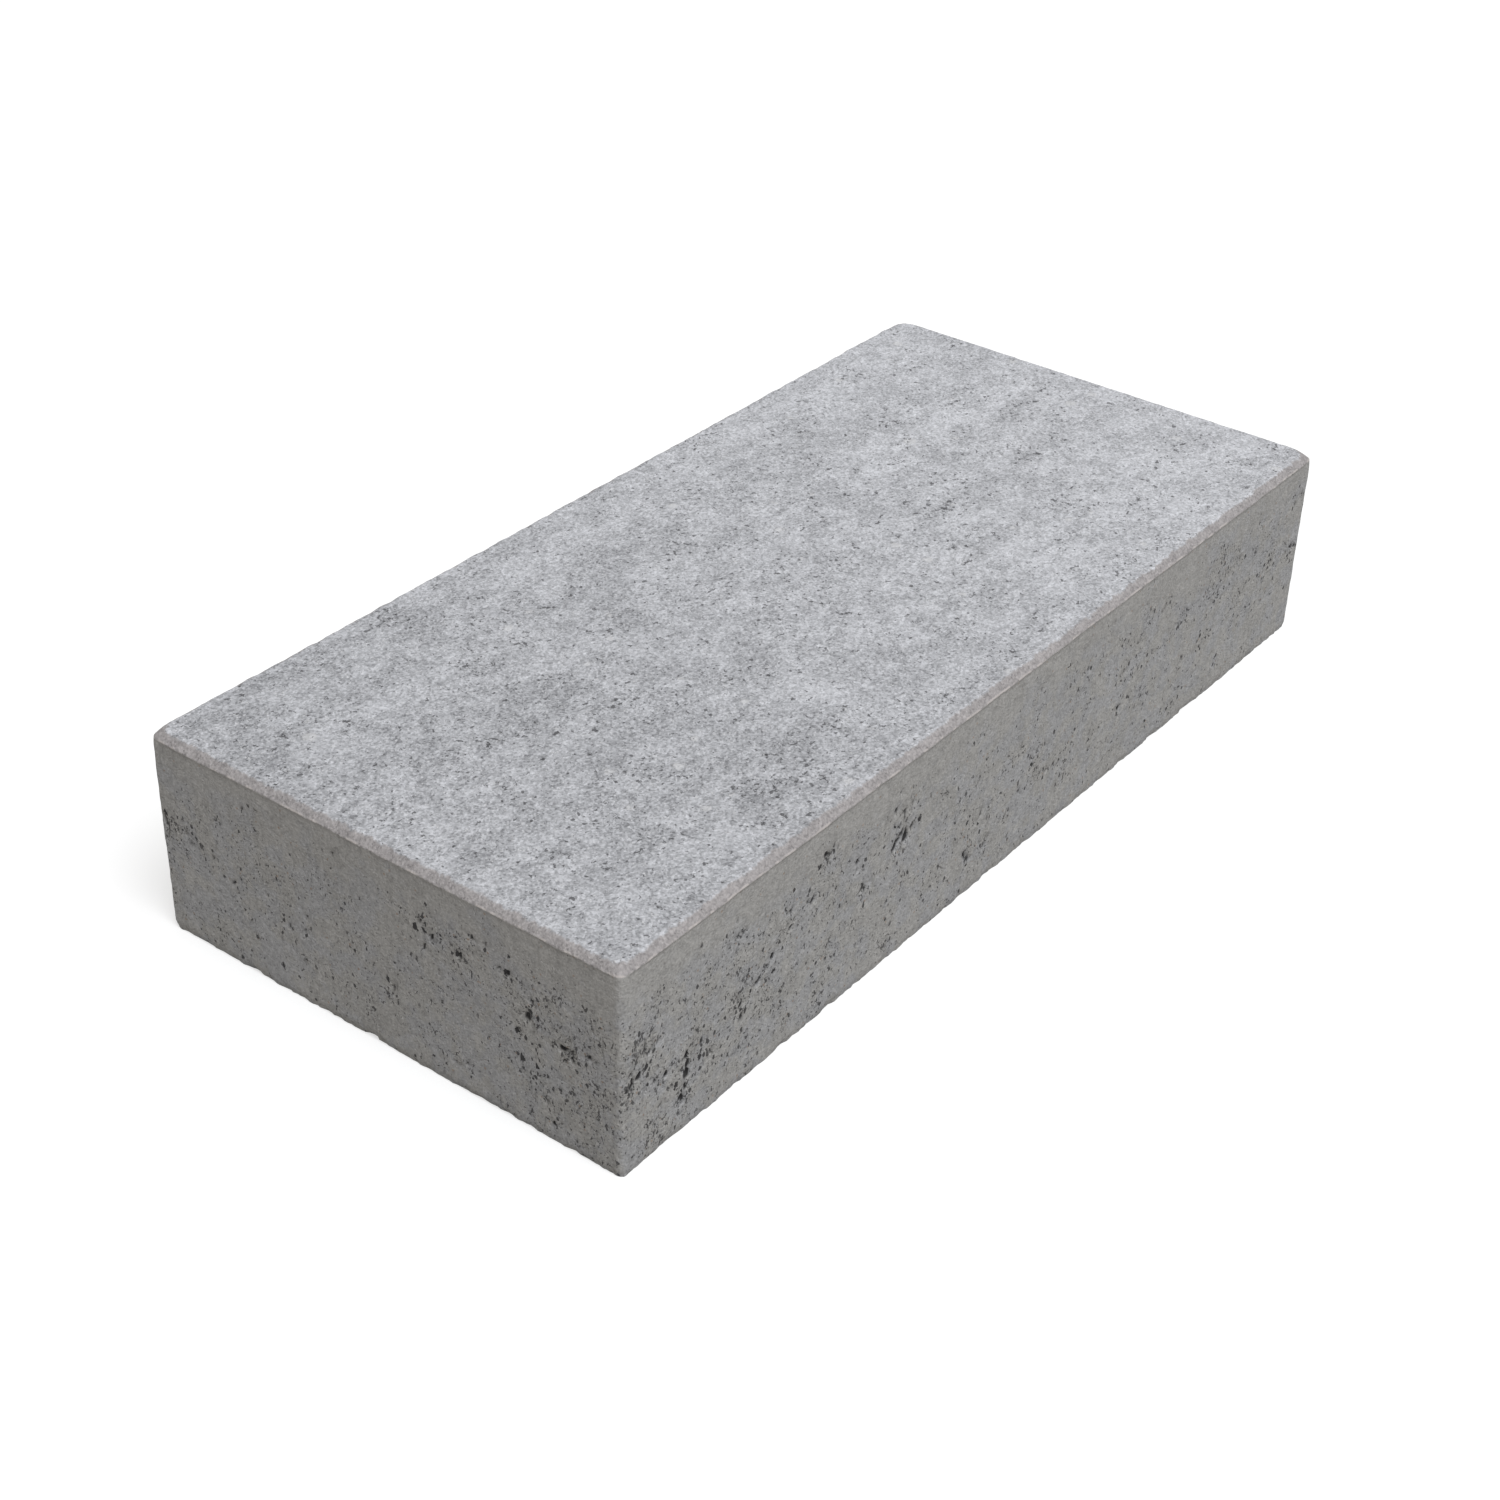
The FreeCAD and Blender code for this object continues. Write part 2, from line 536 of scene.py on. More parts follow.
@dataclass
class BlockSkin:
    """The block's whole outside as one closed surface, with its worn arrises, voids and cast relief.

    The upright faces and the bevel are one band: round the outline one way and up the profile the other.
    The tread and the underside are grids that share the band's top and bottom points.
    """

    low: Vector
    high: Vector
    bevel: float = 5 * MM
    corner: float = 3 * MM
    tread_corner: float = 6 * MM
    tread_wear: float = 2.2 * MM
    bulge: float = 0.5 * MM
    recess: float = 0.35 * MM
    step: float = 2.75 * MM
    fine: float = 0.8 * MM
    underside_ratio: int = 4
    clouds: Clouds = field(default_factory=lambda: Clouds(seed=11))

    def __post_init__(self) -> None:
        """Works out the grid lines and the face lengths from the block's box."""
        self.size = np.array(self.high - self.low)
        self.half = self.size[:2] / 2
        self.foot = self.size[2] - self.bevel
        self.columns = graded(self.size[0], self.fine, self.step, 14 * MM, self.underside_ratio)
        self.rows = graded(self.size[1], self.fine, self.step, 14 * MM, self.underside_ratio)
        lengths = [self.size[0], self.size[1], self.size[0], self.size[1]]
        self.starts = np.concatenate(([0.0], np.cumsum(lengths)))
        self.voids = {
            Side.FRONT: Voids(FRONT_NESTS, LONG_SIDE_HABIT, seed=21),
            Side.LEFT_END: Voids(LEFT_NESTS, END_HABIT, seed=22),
            Side.BACK: Voids(scattered_nests(34, 750, (14, 128), seed=41), LONG_SIDE_HABIT, seed=23),
            Side.RIGHT_END: Voids(scattered_nests(20, 350, (14, 128), seed=42), END_HABIT, seed=24),
        }
        self.tread_voids = Voids(TREAD_NESTS, TREAD_HABIT, seed=25)

    def outline(self) -> tuple[Array, Array, Array]:
        """The square-cornered outline, anticlockwise from the front left corner.

        Returns:
            Its X and Y, the distance along it, and which side each point belongs to.
        """
        x, y = self.columns, self.rows
        front = np.column_stack([x[:-1], np.full(len(x) - 1, y[0])])
        right = np.column_stack([np.full(len(y) - 1, x[-1]), y[:-1]])
        ring = np.concatenate([front, right, -front, -right])
        along = np.concatenate(
            [x[:-1] - x[0], self.starts[1] + y[:-1] - y[0], self.starts[2] + x[:-1] - x[0],
             self.starts[3] + y[:-1] - y[0]]
        )
        side = np.repeat([s.value for s in Side], [len(front), len(right)] * 2)
        return ring, along, side

    def profile(self) -> tuple[Array, Array, Array]:
        """The profile from the underside's edge to the tread's edge.

        Returns:
            The height, the inset as a share of the bevel, and the place along the profile measured from the
            bevel's foot, at each row of the band.
        """
        lowest = np.array([0.0, 0.7, 1.6, 3.0, 5.0]) * MM
        under_foot = self.foot - np.array([5.0, 3.2, 1.9, 1.0, 0.4]) * MM
        count = round((under_foot[0] - lowest[-1]) / self.step)
        wall = np.linspace(lowest[-1], under_foot[0], count + 1)[1:-1]
        upright = np.concatenate([lowest, wall, under_foot])
        share = np.array([0.0, 0.1, 0.25, 0.45, 0.65, 0.82, 0.93, 1.0])
        full = self.bulge * np.sin(math.pi * share)
        height = np.concatenate([upright, self.foot + share * self.bevel + full])
        inset = np.concatenate([np.zeros(len(upright)), share])
        run = np.concatenate([upright - self.foot, share * self.bevel * math.sqrt(2)])
        return height, inset, run

    def ripple(self, along: Array, cell: float, shift: float) -> Array:
        """A random value from -1 to 1 along the outline: relief read round a circle, so its ends meet."""
        turn = 2 * math.pi * along / self.starts[-1]
        radius = self.starts[-1] / (2 * math.pi)
        path = np.stack([radius * np.cos(turn), radius * np.sin(turn), np.full_like(turn, shift)], -1)
        return self.clouds.layered(path, cell, 3)

    def band(self) -> dict[str, Array]:
        """The upright faces and the bevel.

        Each row is the outline pulled in by the row's inset and its corners rounded. The bevel's foot and the
        tread's edge wander, the underside's arris is bitten away, and the faces sink by their relief.

        Returns:
            Places, shape (rows, outline, 3), and the attributes of each point.
        """
        _, along, side = self.outline()
        height, inset, run = self.profile()
        along = np.broadcast_to(along, (len(height), len(along))).copy()
        height = np.broadcast_to(height[:, None], along.shape).copy()
        bare_run = np.broadcast_to(run[:, None], along.shape)

        # The grid is drawn in round the voids, face by face, and held still along every edge.
        sunk, nearness = np.zeros_like(along), np.zeros_like(along)
        for face in Side:
            here = side == face.value
            start, end = self.starts[face.value], self.starts[face.value + 1]
            place = np.stack([along[:, here] - start, self.foot - height[:, here]], -1)
            from_end = np.minimum(place[..., 0], end - start - place[..., 0])
            free = ease(1 * MM, 6 * MM, from_end) * ease(2 * MM, 8 * MM, place[..., 1])
            free *= ease(2 * MM, 8 * MM, height[:, here])
            place = self.voids[face].draw_in(place, free)
            world = np.stack([place[..., 0] + start, place[..., 1], np.zeros_like(from_end)], -1)
            ragged = self.clouds.layered(world, 2.2 * MM, 2)
            deep = self.voids[face].sunk(place, ragged) * ease(0.5 * MM, 3 * MM, from_end + 0.6 * MM)
            sunk[:, here] = deep * ease(-0.2 * MM, 1.5 * MM, height[:, here])
            nearness[:, here] = self.voids[face].nearness(place)
            along[:, here], height[:, here] = place[..., 0] + start, self.foot - place[..., 1]

        inset_of_row = inset[:, None] * np.ones_like(along)
        from_corner = np.abs(along[..., None] - self.starts).min(-1)
        crisp = ease(2 * MM, 15 * MM, from_corner)
        foot_wander = 0.7 * MM * self.ripple(along, 14 * MM, 0.1) * crisp
        uneven = 1 + crisp * (np.array([TREAD_EDGE_UNEVEN[face] for face in Side])[side] - 1)
        bitten = 1 + crisp * (np.array([BOTTOM_BITTEN[face] for face in Side])[side] - 1)
        edge_wander = 0.9 * MM * uneven * self.ripple(along, 9 * MM, 0.3)
        near_foot = np.exp(-((bare_run / (3.5 * MM)) ** 2))
        height += foot_wander * near_foot * (bare_run < 4 * MM)

        bites = np.maximum(self.ripple(along, 11 * MM, 0.5), 0.0) * 2.4 * MM
        bites += 0.8 * MM + 0.7 * MM * self.ripple(along, 4 * MM, 0.7)
        bites *= bitten
        low_edge = ease(6 * MM, 0.0, height) ** 1.5

        flat_x, flat_y = self.unrolled(along, side)
        places = np.stack([flat_x, flat_y, height], -1)
        rough = ease(8 * MM, 45 * MM, self.foot - height + 9 * MM * self.clouds.layered(places, 40 * MM, 2))
        swell = 0.25 * MM * (1 + self.clouds.layered(places, 70 * MM, 2))
        grit = 0.16 * MM * (1 + self.clouds.layered(places, 5 * MM, 2)) * (0.25 + 0.75 * rough)
        drag = 0.10 * MM * (1 + self.clouds.layered(places, np.array([5, 5, 90]) * MM, 2)) * rough
        upright = ease(1.6 * MM, 0.3 * MM, bare_run)
        lip = 1 - crisp * np.exp(-((np.minimum(bare_run, 0.0) / (1.1 * MM)) ** 2))
        face_sink = upright * (self.recess * lip + (swell + grit + drag) * lip) + sunk
        bevel_grit = 0.22 * MM * (1 + self.clouds.layered(places, 3.2 * MM, 2)) * (1 - upright)

        pulled = inset_of_row * (self.bevel + edge_wander) + face_sink + bevel_grit + bites * low_edge
        half = np.broadcast_to(self.half, (*along.shape, 2))
        shrink = (half - pulled[..., None]) / half
        radius = self.corner + (self.tread_corner - self.corner) * inset_of_row
        radius = radius + 0.8 * MM * (1 + self.clouds.layered(places, 11 * MM, 2))
        wear = CORNER_WEAR[np.abs(along[..., None] - self.starts).argmin(-1) % len(CORNER_WEAR)]
        blunted = 1.8 * MM * np.exp(-np.abs(bare_run - 2 * MM) / (5 * MM))
        radius = radius + wear * (blunted + self.tread_wear * inset_of_row)
        flat = np.stack([flat_x, flat_y], -1) * shrink
        flat = round_corners(flat, half * shrink, radius[..., None])
        tread_dip = 0.12 * MM * (1 + self.clouds.layered(places, 4 * MM, 2)) * ease(0.85, 1.0, inset_of_row)
        tread_dip *= uneven**2
        places = np.concatenate([flat, (height - tread_dip)[..., None]], -1)
        return {
            "place": places,
            "profile_run": bare_run * np.ones_like(along),
            "void_depth": sunk,
            "void_nearness": nearness,
            "bloom": np.zeros_like(along),
            "along": along,
            "climb": np.where(bare_run < 0, height, self.foot + bare_run),
        }

    def band_unwrapping(self, band: dict[str, Array]) -> Array:
        """Lays the band's four faces out as strips on the unwrapped sheet.

        Args:
            band: what band() gave.

        Returns:
            A place on the sheet, from 0 to 1, for each corner of each of the band's quads.
        """
        _, _, side = self.outline()
        last = np.full((len(band["along"]), 1), self.starts[-1])
        across = np.concatenate([band["along"], last], 1)
        up = np.concatenate([band["climb"], band["climb"][:, :1]], 1)
        shift = np.array([STRIPS[face] for face in Side]) * MM
        shift[:, 0] -= self.starts[:-1]
        corners = ((slice(None, -1), slice(None, -1)), (slice(None, -1), slice(1, None)),
                   (slice(1, None), slice(1, None)), (slice(1, None), slice(None, -1)))
        flat = [np.stack([across[r, c] + shift[side, 0], up[r, c] + shift[side, 1]], -1) for r, c in corners]
        return np.stack(flat, -2).reshape(-1, 2) / SHEET

    def plan_unwrapping(self, corners: Array, under: bool) -> Array:
        """Lays the tread at the sheet's low corner, and the underside, turned and reduced, beside it.

        Args:
            corners: X and Y of each face corner.
            under: whether they belong to the underside.

        Returns:
            A place on the sheet, from 0 to 1, for each corner.
        """
        flat = corners[:, :2] + self.half
        if under:
            flat = flat[:, ::-1] * UNDERSIDE_SHARE + np.array((self.size[0] + 2 * MM, 0.0))
        return flat / SHEET

    def unrolled(self, along: Array, side: Array) -> tuple[Array, Array]:
        """X and Y on the square-cornered outline for a distance along it, side by side."""
        run = along - self.starts[side]
        corner_x = np.array([-1, 1, 1, -1])[side] * self.half[0]
        corner_y = np.array([-1, -1, 1, 1])[side] * self.half[1]
        step_x = np.array([1, 0, -1, 0])[side]
        step_y = np.array([0, 1, 0, -1])[side]
        return corner_x + run * step_x, corner_y + run * step_y

    def tread(self, rim: Array) -> dict[str, Array]:
        """The tread face: a grid whose outer points are the band's top row.

        Inside, each point keeps its share of the way from corner to corner. The rim's wander is passed on
        inwards and dies out over a few millimetres. The face sinks by a slow swell, the press plate's fine
        grain, and its voids.

        Args:
            rim: the band's top row, the points that the grid's edge takes.

        Returns:
            Places, shape (columns, rows, 3), and the attributes of each point.
        """
        inner = self.half - self.bevel
        plan = np.stack(np.meshgrid(self.columns, self.rows, indexing="ij"), -1) * (inner / self.half)
        edge = np.minimum(inner[0] - np.abs(plan[..., 0]), inner[1] - np.abs(plan[..., 1]))
        from_front = plan + self.half
        free = ease(2 * MM, 9 * MM, edge)
        from_front = self.tread_voids.draw_in(from_front, free)
        plan = from_front - self.half
        spots = np.concatenate([plan, np.zeros((*plan.shape[:-1], 1))], -1)
        ragged = self.clouds.layered(spots, 2.2 * MM, 2)
        sunk = self.tread_voids.sunk(from_front, ragged) * ease(0.0, 2 * MM, edge)
        nearest = np.where(
            plan[..., 1] < 0, np.where(plan[..., 0] < 0, 0, 1), np.where(plan[..., 0] < 0, 3, 2)
        )
        radius = self.tread_corner + 0.8 * MM + CORNER_WEAR[nearest] * (self.tread_wear + 0.65 * MM)
        plan = round_corners(plan, inner, radius[..., None])
        swell = 0.22 * MM * (1 + self.clouds.layered(spots, np.array([60, 40, 60]) * MM, 3))
        grain = 0.16 * MM * (1 + self.clouds.layered(spots, 4.5 * MM, 2))
        height = self.size[2] - (swell + grain) * ease(0.0, 5 * MM, edge) - sunk

        places = np.concatenate([plan, height[..., None]], -1)
        loop = self.grid_loop(len(self.columns), len(self.rows))
        moved = rim - places.reshape(-1, 3)[loop]
        shift = np.zeros_like(places).reshape(-1, 3)
        shift[loop] = moved
        shift = shift.reshape(places.shape)
        fade = np.exp(-edge / (2.5 * MM))[..., None]
        spread = self.spread_inwards(shift, places)
        places = places + spread * fade
        places.reshape(-1, 3)[loop] = rim
        run = self.bevel * math.sqrt(2) + edge
        frayed = 1 + 0.6 * self.clouds.layered(spots, 9 * MM, 3)
        return {"place": places, "profile_run": run, "void_depth": sunk,
                "void_nearness": self.tread_voids.nearness(from_front),
                "bloom": bloom_at(TREAD_PATCHES, from_front) * frayed}

    def spread_inwards(self, shift: Array, places: Array) -> Array:
        """Passes the edge's shift to the points inside: each takes that of the nearest edge point."""
        nearest_x = np.where(places[..., 0] > 0, -1, 0)
        nearest_y = np.where(places[..., 1] > 0, -1, 0)
        to_x = self.half[0] - np.abs(places[..., 0])
        to_y = self.half[1] - np.abs(places[..., 1])
        i, j = np.indices(places.shape[:2])
        from_end = shift[nearest_x, j]
        from_side = shift[i, nearest_y]
        return np.where((to_x < to_y)[..., None], from_end, from_side)

    @staticmethod
    def grid_loop(across: int, deep: int) -> Array:
        """The flat indices of a grid's edge points, anticlockwise from its first corner."""
        index = np.arange(across * deep).reshape(across, deep)
        return np.concatenate([index[:-1, 0], index[-1, :-1], index[:0:-1, -1], index[0, :0:-1]])

    @staticmethod
    def halved(outer: Array, inner: Array) -> Array:
        """Joins a closed loop of points to one with half as many: three triangles for each pair of edges.

        Args:
            outer: indices of the outer loop's points, anticlockwise from above.
            inner: indices of the inner loop's points; each lies inside an even point of the outer loop.

        Returns:
            The triangles, facing down.
        """
        a, b, c = outer[0::2], outer[1::2], np.roll(outer, -2)[0::2]
        p, q = inner, np.roll(inner, -1)
        return np.concatenate([np.column_stack(corners) for corners in ((a, p, b), (b, p, q), (b, q, c))])

    def build(self) -> bpy.types.Object:
        """Joins the band, the tread and the underside into one mesh, with its attributes and unwrapping.

        Returns:
            The block's object, standing at the origin.
        """
        band = self.band()
        rows, count = band["along"].shape
        points = [band["place"].reshape(-1, 3)]
        index = np.arange(rows * count).reshape(rows, count)
        after = np.roll(index, -1, axis=1)
        quads = [np.stack([index[:-1], after[:-1], after[1:], index[1:]], -1).reshape(-1, 4)]
        total = rows * count

        tread = self.tread(band["place"][-1])
        across, deep = tread["profile_run"].shape
        loop = self.grid_loop(across, deep)
        inner = np.ones(across * deep, bool)
        inner[loop] = False
        where = np.empty(across * deep, int)
        where[loop] = index[-1]
        where[inner] = total + np.arange(inner.sum())
        points.append(tread["place"].reshape(-1, 3)[inner])
        total += int(inner.sum())
        grid = where.reshape(across, deep)
        quads.append(
            np.stack([grid[:-1, :-1], grid[1:, :-1], grid[1:, 1:], grid[:-1, 1:]], -1).reshape(-1, 4)
        )

        under_points, under_quads, triangles = self.underside(band["place"][0], index[0], total)
        points.append(under_points)
        quads.append(under_quads)
        skin = np.concatenate(points)
        flat = [
            self.band_unwrapping(band),
            self.plan_unwrapping(skin[quads[1].ravel()], under=False),
            self.plan_unwrapping(skin[quads[2].ravel()], under=True),
            self.plan_unwrapping(skin[triangles.ravel()], under=True),
        ]

        values = {}
        for name in ("profile_run", "void_depth", "void_nearness", "bloom"):
            base = np.zeros(len(under_points))
            if name == "profile_run":
                base = base - self.foot
            values[name] = np.concatenate([band[name].ravel(), tread[name].ravel()[inner], base])
        return self.into_mesh(skin, [np.concatenate(quads), triangles], values, np.concatenate(flat))

    def underside(self, rim: Array, rim_index: Array, first: int) -> tuple[Array, Array, Array]:
        """The face that lies on the ground: a coarse flat grid, joined to the band's fine bottom row.

        The outline is drawn in twice, halving its points each time, and the coarse grid starts there.

        Args:
            rim: the band's bottom row.
            rim_index: its points' indices.
            first: index of the first new point.

        Returns:
            The new points, the grid's quads and the joining triangles.
        """
        inner = self.half - 14 * MM
        x = self.columns[:: self.underside_ratio] * inner[0] / self.half[0]
        y = self.rows[:: self.underside_ratio] * inner[1] / self.half[1]
        grid = np.stack(np.meshgrid(x, y, indexing="ij"), -1)
        grid = np.concatenate([grid, np.zeros((*grid.shape[:-1], 1))], -1)
        loop = self.grid_loop(len(x), len(y))
        edge = grid.reshape(-1, 3)[loop]
        between = (rim[0::2] + np.stack([edge, (edge + np.roll(edge, -1, 0)) / 2], 1).reshape(-1, 3)) / 2
        between[:, 2] = 0.0

        middle = first + np.arange(len(between))
        grid_index = first + len(between) + np.arange(grid[..., 0].size).reshape(grid.shape[:2])
        triangles = [self.halved(rim_index, middle), self.halved(middle, grid_index.ravel()[loop])]
        quads = np.stack(
            [grid_index[:-1, :-1], grid_index[:-1, 1:], grid_index[1:, 1:], grid_index[1:, :-1]], -1
        )
        points = np.concatenate([between, grid.reshape(-1, 3)])
        return points, quads.reshape(-1, 4), np.concatenate(triangles)

    @staticmethod
    def into_mesh(
        points: Array, faces: list[Array], values: dict[str, Array], flat: Array
    ) -> bpy.types.Object:
        """Puts arrays into a smooth-shaded mesh.

        Args:
            points: places.
            faces: blocks of faces, each an array of point indices with one row for each face.
            values: float attributes of the points, by name.
            flat: the place on the unwrapped sheet of each face corner, in the faces' order.

        Returns:
            An object that carries the mesh.
        """
        mesh = bpy.data.meshes.new(f"{NODE}_skin")
        sizes = np.concatenate([np.full(len(block), block.shape[1]) for block in faces])
        corners = np.concatenate([block.ravel() for block in faces])
        mesh.vertices.add(len(points))
        mesh.vertices.foreach_set("co", points.ravel())
        mesh.loops.add(len(corners))
        mesh.loops.foreach_set("vertex_index", corners)
        mesh.polygons.add(len(sizes))
        mesh.polygons.foreach_set("loop_start", np.concatenate(([0], np.cumsum(sizes)[:-1])))
        mesh.polygons.foreach_set("use_smooth", np.ones(len(sizes), bool))
        mesh.update(calc_edges=True)
        mesh.uv_layers.new(name=UNWRAPPING).data.foreach_set("uv", flat.astype(np.float32).ravel())
        for name, value in values.items():
            mesh.attributes.new(name, "FLOAT", "POINT").data.foreach_set("value", value.astype(np.float32))
        piece = bpy.data.objects.new(f"{NODE}_skin", mesh)
        bpy.context.scene.collection.objects.link(piece)
        log.info("%s: %d points, %d faces", piece.name, len(points), len(sizes))
        return piece


# ---------------------------------------------------------------- shader nodes


class NodeSheet:
    """A node tree with short calls for adding nodes and joining them."""

    def __init__(self, tree: bpy.types.NodeTree) -> None:
        """Works on a tree that already exists."""
        self.tree = tree

    def add(self, kind: str, inputs: dict | None = None, **settings: object) -> bpy.types.Node:
        """Adds a node.

        Args:
            kind: the node's type name.
            inputs: for input names or numbers, a value or the output socket that feeds it.
            settings: the node's own properties.

        Returns:
            The node.
        """
        node = self.tree.nodes.new(kind)
        for name, value in settings.items():
            setattr(node, name, value)
        for name, value in (inputs or {}).items():
            if isinstance(value, bpy.types.NodeSocket):
                self.tree.links.new(value, node.inputs[name])
            else:
                node.inputs[name].default_value = value
        return node

    def sums(
        self, operation: str, first: object, second: object = 0.0, clamp: bool = False
    ) -> bpy.types.NodeSocket:
        """A Math node's result."""
        node = self.add("ShaderNodeMath", {0: first, 1: second}, operation=operation, use_clamp=clamp)
        return node.outputs[0]

    def ramp(self, value: object, low: float, high: float, to_low: float = 0.0, to_high: float = 1.0):
        """A smooth Map Range from low..high to to_low..to_high."""
        inputs = {"Value": value, "From Min": low, "From Max": high, "To Min": to_low, "To Max": to_high}
        return self.add("ShaderNodeMapRange", inputs, interpolation_type="SMOOTHSTEP").outputs["Result"]

    def blend(self, share: object, first: object, second: object, way: str = "MIX") -> bpy.types.NodeSocket:
        """A colour Mix node's result."""
        node = self.add("ShaderNodeMix", data_type="RGBA", blend_type=way, clamp_factor=True)
        for socket, value in ((node.inputs[0], share), (node.inputs[6], first), (node.inputs[7], second)):
            if isinstance(value, bpy.types.NodeSocket):
                self.tree.links.new(value, socket)
            else:
                socket.default_value = value
        return node.outputs[2]

    def shade(self, *terms: tuple[bpy.types.NodeSocket, float]) -> bpy.types.NodeSocket:
        """A shade near 1: each tone swings it by its own amount about the tone's mean of a half."""
        total = 1.0 - sum(amount for _, amount in terms) / 2
        for tone, amount in terms:
            total = self.add(
                "ShaderNodeMath", {0: tone, 1: amount, 2: total}, operation="MULTIPLY_ADD"
            ).outputs[0]
        return total

    def attribute(self, name: str) -> bpy.types.NodeSocket:
        """A point attribute's value."""
        return self.add("ShaderNodeAttribute", attribute_name=name).outputs["Fac"]

    def place(self, group: bpy.types.NodeTree, inputs: dict) -> bpy.types.Node:
        """Places a node group and sets or joins its inputs."""
        node = self.add("ShaderNodeGroup", node_tree=group)
        for name, value in inputs.items():
            if isinstance(value, bpy.types.NodeSocket):
                self.tree.links.new(value, node.inputs[name])
            else:
                node.inputs[name].default_value = value
        return node


class NodeGroup(NodeSheet):
    """A shader node group with named inputs and outputs."""

    def __init__(self, name: str, inputs: dict[str, object], outputs: tuple[str, ...]) -> None:
        """Makes the group and its sockets.

        Args:
            name: of the group.
            inputs: for each socket's name its starting value, or None for a vector.
            outputs: the names of the value outputs.
        """
        super().__init__(bpy.data.node_groups.new(name, "ShaderNodeTree"))
        for title, start in inputs.items():
            kind = "NodeSocketVector" if start is None else "NodeSocketFloat"
            socket = self.tree.interface.new_socket(title, in_out="INPUT", socket_type=kind)
            if start is not None:
                socket.default_value = start
        for title in outputs:
            self.tree.interface.new_socket(title, in_out="OUTPUT", socket_type="NodeSocketFloat")
        self.given = self.tree.nodes.new("NodeGroupInput").outputs
        self.result = self.tree.nodes.new("NodeGroupOutput").inputs

    def give(self, name: str, socket: bpy.types.NodeSocket) -> None:
        """Joins a socket to the group's output of that name."""
        self.tree.links.new(socket, self.result[name])


def cloud_group() -> bpy.types.NodeTree:
    """Cloudy tone: layered noise, spread so that its mean is a half and nearly all of it lies from 0 to 1."""
    group = NodeGroup("Cloudy tone", {"Vector": None, "Pitch mm": 10.0, "Layers": 3.0}, ("Tone",))
    scale = group.sums("DIVIDE", 1000.0, group.given["Pitch mm"])
    noise = group.add(
        "ShaderNodeTexNoise",
        {"Vector": group.given["Vector"], "Scale": scale, "Detail": group.given["Layers"], "Roughness": 0.62},
    )
    spread = group.sums("MULTIPLY", group.sums("SUBTRACT", noise.outputs["Fac"], 0.5), 2.2)
    group.give("Tone", group.sums("ADD", spread, 0.5))
    return group.tree


def grain_group() -> bpy.types.NodeTree:
    """Sand grain: each Voronoi cell is a grain with its own tone. A few are pale quartz, a few rusty."""
    group = NodeGroup("Sand grain", {"Vector": None, "Grain mm": 1.2}, ("Tone", "Pale", "Rusty"))
    scale = group.sums("DIVIDE", 1000.0, group.given["Grain mm"])
    cells = group.add("ShaderNodeTexVoronoi", {"Vector": group.given["Vector"], "Scale": scale}, feature="F1")
    luck = group.add("ShaderNodeSeparateColor", {0: cells.outputs["Color"]}).outputs
    inside = group.ramp(cells.outputs["Distance"], 0.5, 0.3)
    group.give("Tone", luck[0])
    group.give("Pale", group.sums("MULTIPLY", inside, group.ramp(luck[1], 0.955, 0.975)))
    group.give("Rusty", group.sums("MULTIPLY", inside, group.ramp(luck[2], 0.982, 0.99)))
    return group.tree


def pebble_group(clouds: bpy.types.NodeTree) -> bpy.types.NodeTree:
    """Pebbles: here and there a Voronoi point is a stone just under the skin, with a ragged rim."""
    group = NodeGroup("Pebbles", {"Vector": None, "Pitch mm": 30.0, "Radius mm": 3.5}, ("Pebble",))
    scale = group.sums("DIVIDE", 1000.0, group.given["Pitch mm"])
    cells = group.add("ShaderNodeTexVoronoi", {"Vector": group.given["Vector"], "Scale": scale}, feature="F1")
    luck = group.add("ShaderNodeSeparateColor", {0: cells.outputs["Color"]}).outputs
    away = group.sums("MULTIPLY", cells.outputs["Distance"], group.given["Pitch mm"])
    ragged = group.place(
        clouds, {"Vector": group.given["Vector"], "Pitch mm": 2.6, "Layers": 2.0}
    ).outputs["Tone"]
    away = group.sums("ADD", away, group.sums("MULTIPLY", ragged, 2.4))
    own = group.sums("MULTIPLY", group.given["Radius mm"], group.ramp(luck[1], 0.0, 1.0, 0.8, 1.4))
    within = group.sums("SUBTRACT", own, away)
    group.give(
        "Pebble", group.sums("MULTIPLY", group.ramp(within, -0.5, 0.9), group.ramp(luck[0], 0.55, 0.6))
    )
    return group.tree


def dent_group(clouds: bpy.types.NodeTree) -> bpy.types.NodeTree:
    """Dents: the deepest hollows of a cloudy relief. A higher Share counts more of it as hollow."""
    group = NodeGroup("Dents", {"Vector": None, "Pitch mm": 3.5, "Share": 0.05, "Edge": 0.12}, ("Dent",))
    relief = group.place(
        clouds, {"Vector": group.given["Vector"], "Pitch mm": group.given["Pitch mm"], "Layers": 2.5}
    )
    below = group.sums("SUBTRACT", group.given["Share"], relief.outputs["Tone"])
    steep = group.sums("DIVIDE", below, group.given["Edge"])
    group.give("Dent", group.ramp(steep, 0.0, 1.0))
    return group.tree


